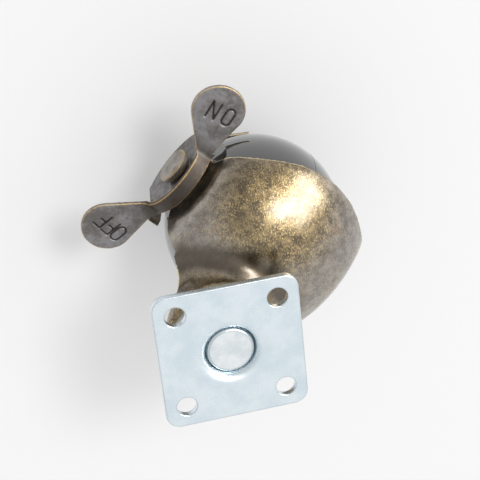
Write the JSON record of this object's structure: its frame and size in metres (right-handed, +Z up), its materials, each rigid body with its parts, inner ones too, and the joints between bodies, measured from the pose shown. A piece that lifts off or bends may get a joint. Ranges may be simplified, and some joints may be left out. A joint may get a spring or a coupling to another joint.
{
  "type": "ball castor",
  "caption": "Hooded ball castor with a square screw-on top plate, a ball-bearing swivel, a hollow ball wheel on a cross axle and a rocking foot brake lever with flat ears.",
  "frame": {"origin": "centre of the top plate's mounting face, on the kingpin's axis", "axes": "+Z up, out of the mounting face into the furniture; X and Y along the plate's sides; at rest the hood is swivelled so that the ball trails towards -X-Y and the brake lever faces +X-Y"},
  "size_m": [0.0747, 0.0809, 0.065],
  "materials": {
    "zinc_plate": "bright zinc plate",
    "zinc_pin": "bright zinc rivet",
    "race_steel": "hardened and oiled",
    "bearing_steel": "polished balls",
    "antique_brass": "antiqued, brushed and lacquered",
    "aged_steel": "aged dark plating worn to brass at its edges",
    "rivet_steel": "dull aged rivet",
    "spring_steel": "aged spring steel",
    "black_ball": "glossy moulded shell",
    "bush_plastic": "natural moulded bush"
  },
  "bodies": {
    "plate": {"top_plate": "zinc_plate", "kingpin": "zinc_pin", "upper_race": "race_steel", "upper_bearing_balls": "bearing_steel", "lower_bearing_balls": "bearing_steel", "bottom_cup": "race_steel"},
    "hood": {"hood": "antique_brass", "lower_race": "race_steel", "crown_race": "race_steel", "axle": "rivet_steel", "end_washer": "rivet_steel", "thrust_washer_lever_side": "bush_plastic", "thrust_washer_far_side": "bush_plastic", "spring_washer": "spring_steel"},
    "wheel": {"ball_half_lever_side": "black_ball", "ball_half_far_side": "black_ball", "hub_tube": "race_steel", "bush_lever_side": "bush_plastic", "bush_far_side": "bush_plastic"},
    "lever": {"brake_lever": "aged_steel"},
    "shoe": {"brake_shoe": "spring_steel"}
  },
  "joints": [
    {"name": "swivel", "type": "hinge", "parent": "plate", "child": "hood", "pos_m": [0, 0, 0], "axis": [0, 0, 1], "continuous": true},
    {"name": "wheel_roll", "type": "hinge", "parent": "hood", "child": "wheel", "pos_m": [-0.01666, -0.01586, -0.04], "axis": [0.6896, -0.7242, 0], "continuous": true},
    {"name": "brake_lever", "type": "hinge", "parent": "hood", "child": "lever", "pos_m": [-0.01666, -0.01586, -0.04], "axis": [0.6896, -0.7242, 0], "range_deg": [0, 23.4]},
    {"name": "brake_shoe", "type": "slide", "parent": "hood", "child": "shoe", "axis": [-0.6896, 0.7242, 0], "range_m": [0, 0.0006]}
  ],
  "couplings": [
    {"joint": "brake_shoe", "follows": "brake_lever", "m_per_rad": 0.001469}
  ]
}
